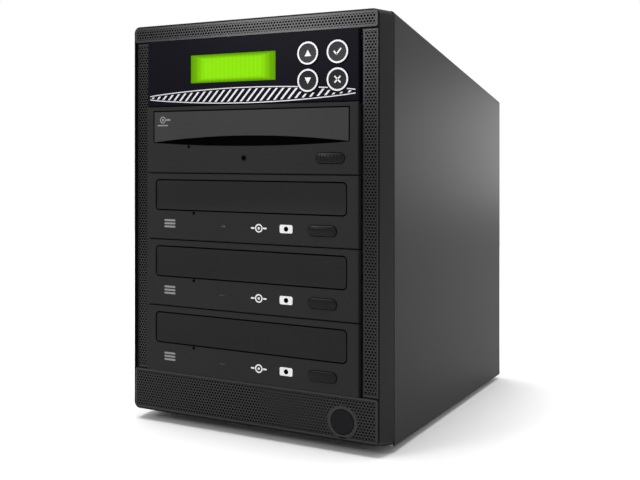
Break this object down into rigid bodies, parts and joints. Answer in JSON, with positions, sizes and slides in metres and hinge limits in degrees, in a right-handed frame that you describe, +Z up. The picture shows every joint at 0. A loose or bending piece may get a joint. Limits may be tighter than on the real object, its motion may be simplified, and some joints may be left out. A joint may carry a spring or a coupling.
{
  "type": "cd dvd duplicator tower",
  "caption": "Tower disc duplicator with a keyed controller panel above stacked optical drives in a meshed front bezel and a folded steel case.",
  "frame": {"origin": "middle of the footprint, on the surface that the feet stand on", "axes": "+Z up, the front faces -Y, +X is to the viewer's right when looking at the front"},
  "size_m": [0.178, 0.308, 0.2585],
  "materials": {
    "steel_zinc": "zinc plated",
    "cover_paint": "satin, fine grained",
    "bezel_black": "satin moulded",
    "mesh_black": "satin, perforated",
    "panel_gloss": "gloss",
    "display_green": "lit liquid crystal",
    "board_green": "solder mask",
    "key_black": "gloss",
    "reader_charcoal": "grained",
    "writer_charcoal": "satin",
    "eject_black": "satin gloss",
    "tray_black": "fine grained",
    "drive_steel": "galvanised",
    "hub_white": "moulded",
    "sled_dark": "moulded",
    "rubber_black": "matte",
    "screw_black": "satin",
    "psu_steel": "zinc plated",
    "module_black": "satin",
    "fan_black": "moulded",
    "button_black": "satin gloss",
    "rocker_black": "satin gloss"
  },
  "bodies": {
    "case": {"base_pan": "steel_zinc", "bay_rail_left": "steel_zinc", "bay_rail_right": "steel_zinc", "controller_board": "board_green", "controller_fascia": "panel_gloss", "cover_shell": "cover_paint", "cover_thumbscrews": "screw_black", "display_pane": "display_green", "front_bezel": "bezel_black", "front_plate": "steel_zinc", "inlet_module": "module_black", "lower_mesh_panel": "mesh_black", "power_switch_body": "module_black", "psu_case": "psu_steel", "psu_fan_frame": "fan_black", "reader_chassis": "drive_steel", "reader_fascia": "reader_charcoal", "reader_lid": "drive_steel", "rear_fan_frame": "fan_black", "rear_panel": "steel_zinc", "rubber_feet": "rubber_black", "side_mesh_strips": "mesh_black", "top_mesh_bar": "mesh_black", "writer_1_chassis": "drive_steel", "writer_1_fascia": "writer_charcoal", "writer_1_lid": "drive_steel", "writer_2_chassis": "drive_steel", "writer_2_fascia": "writer_charcoal", "writer_2_lid": "drive_steel", "writer_3_chassis": "drive_steel", "writer_3_fascia": "writer_charcoal", "writer_3_lid": "drive_steel"},
    "reader_tray_body": {"reader_tray": "tray_black", "reader_door": "reader_charcoal"},
    "reader_eject_body": {"reader_eject_button": "eject_black"},
    "reader_hub_body": {"reader_spindle_hub": "hub_white"},
    "reader_sled_body": {"reader_pickup_sled": "sled_dark"},
    "writer_1_tray_body": {"writer_1_tray": "tray_black", "writer_1_door": "writer_charcoal"},
    "writer_1_eject_body": {"writer_1_eject_button": "eject_black"},
    "writer_1_hub_body": {"writer_1_spindle_hub": "hub_white"},
    "writer_1_sled_body": {"writer_1_pickup_sled": "sled_dark"},
    "writer_2_tray_body": {"writer_2_tray": "tray_black", "writer_2_door": "writer_charcoal"},
    "writer_2_eject_body": {"writer_2_eject_button": "eject_black"},
    "writer_2_hub_body": {"writer_2_spindle_hub": "hub_white"},
    "writer_2_sled_body": {"writer_2_pickup_sled": "sled_dark"},
    "writer_3_tray_body": {"writer_3_tray": "tray_black", "writer_3_door": "writer_charcoal"},
    "writer_3_eject_body": {"writer_3_eject_button": "eject_black"},
    "writer_3_hub_body": {"writer_3_spindle_hub": "hub_white"},
    "writer_3_sled_body": {"writer_3_pickup_sled": "sled_dark"},
    "key_up_body": {"key_up": "key_black"},
    "key_down_body": {"key_down": "key_black"},
    "key_enter_body": {"key_enter": "key_black"},
    "key_escape_body": {"key_escape": "key_black"},
    "power_button_body": {"power_button": "button_black"},
    "rocker_body": {"rocker_switch": "rocker_black"},
    "psu_fan_body": {"psu_fan_rotor": "fan_black"},
    "rear_fan_body": {"rear_fan_rotor": "fan_black"}
  },
  "joints": [
    {"name": "reader_tray_slide", "type": "slide", "parent": "case", "child": "reader_tray_body", "axis": [0, -1, 0], "range_m": [0, 0.134]},
    {"name": "reader_eject_press", "type": "slide", "parent": "case", "child": "reader_eject_body", "axis": [0, 1, 0], "range_m": [0, 0.001], "stiffness_N_per_m": 400},
    {"name": "reader_hub_spin", "type": "hinge", "parent": "case", "child": "reader_hub_body", "pos_m": [0, -0.08165, 0.1827], "axis": [0, 0, 1], "continuous": true},
    {"name": "reader_sled_slide", "type": "slide", "parent": "case", "child": "reader_sled_body", "axis": [0, 1, 0], "range_m": [0, 0.034]},
    {"name": "writer_1_tray_slide", "type": "slide", "parent": "case", "child": "writer_1_tray_body", "axis": [0, -1, 0], "range_m": [0, 0.134]},
    {"name": "writer_1_eject_press", "type": "slide", "parent": "case", "child": "writer_1_eject_body", "axis": [0, 1, 0], "range_m": [0, 0.001], "stiffness_N_per_m": 400},
    {"name": "writer_1_hub_spin", "type": "hinge", "parent": "case", "child": "writer_1_hub_body", "pos_m": [0, -0.08165, 0.1404], "axis": [0, 0, 1], "continuous": true},
    {"name": "writer_1_sled_slide", "type": "slide", "parent": "case", "child": "writer_1_sled_body", "axis": [0, 1, 0], "range_m": [0, 0.034]},
    {"name": "writer_2_tray_slide", "type": "slide", "parent": "case", "child": "writer_2_tray_body", "axis": [0, -1, 0], "range_m": [0, 0.134]},
    {"name": "writer_2_eject_press", "type": "slide", "parent": "case", "child": "writer_2_eject_body", "axis": [0, 1, 0], "range_m": [0, 0.001], "stiffness_N_per_m": 400},
    {"name": "writer_2_hub_spin", "type": "hinge", "parent": "case", "child": "writer_2_hub_body", "pos_m": [0, -0.08165, 0.0981], "axis": [0, 0, 1], "continuous": true},
    {"name": "writer_2_sled_slide", "type": "slide", "parent": "case", "child": "writer_2_sled_body", "axis": [0, 1, 0], "range_m": [0, 0.034]},
    {"name": "writer_3_tray_slide", "type": "slide", "parent": "case", "child": "writer_3_tray_body", "axis": [0, -1, 0], "range_m": [0, 0.134]},
    {"name": "writer_3_eject_press", "type": "slide", "parent": "case", "child": "writer_3_eject_body", "axis": [0, 1, 0], "range_m": [0, 0.001], "stiffness_N_per_m": 400},
    {"name": "writer_3_hub_spin", "type": "hinge", "parent": "case", "child": "writer_3_hub_body", "pos_m": [0, -0.08165, 0.0558], "axis": [0, 0, 1], "continuous": true},
    {"name": "writer_3_sled_slide", "type": "slide", "parent": "case", "child": "writer_3_sled_body", "axis": [0, 1, 0], "range_m": [0, 0.034]},
    {"name": "key_up_press", "type": "slide", "parent": "case", "child": "key_up_body", "axis": [0, 1, 0], "range_m": [0, 0.0006], "stiffness_N_per_m": 600},
    {"name": "key_down_press", "type": "slide", "parent": "case", "child": "key_down_body", "axis": [0, 1, 0], "range_m": [0, 0.0006], "stiffness_N_per_m": 600},
    {"name": "key_enter_press", "type": "slide", "parent": "case", "child": "key_enter_body", "axis": [0, 1, 0], "range_m": [0, 0.0006], "stiffness_N_per_m": 600},
    {"name": "key_escape_press", "type": "slide", "parent": "case", "child": "key_escape_body", "axis": [0, 1, 0], "range_m": [0, 0.0006], "stiffness_N_per_m": 600},
    {"name": "power_press", "type": "slide", "parent": "case", "child": "power_button_body", "axis": [0, 1, 0], "range_m": [0, 0.002], "stiffness_N_per_m": 400},
    {"name": "rocker_tilt", "type": "hinge", "parent": "case", "child": "rocker_body", "pos_m": [0.04, 0.14665, 0.04875], "axis": [1, 0, 0], "range_deg": [-16, 0]},
    {"name": "psu_fan_spin", "type": "hinge", "parent": "case", "child": "psu_fan_body", "pos_m": [-0.024, 0.13725, 0.03675], "axis": [0, 1, 0], "continuous": true},
    {"name": "rear_fan_spin", "type": "hinge", "parent": "case", "child": "rear_fan_body", "pos_m": [0, 0.13725, 0.1685], "axis": [0, 1, 0], "continuous": true}
  ]
}
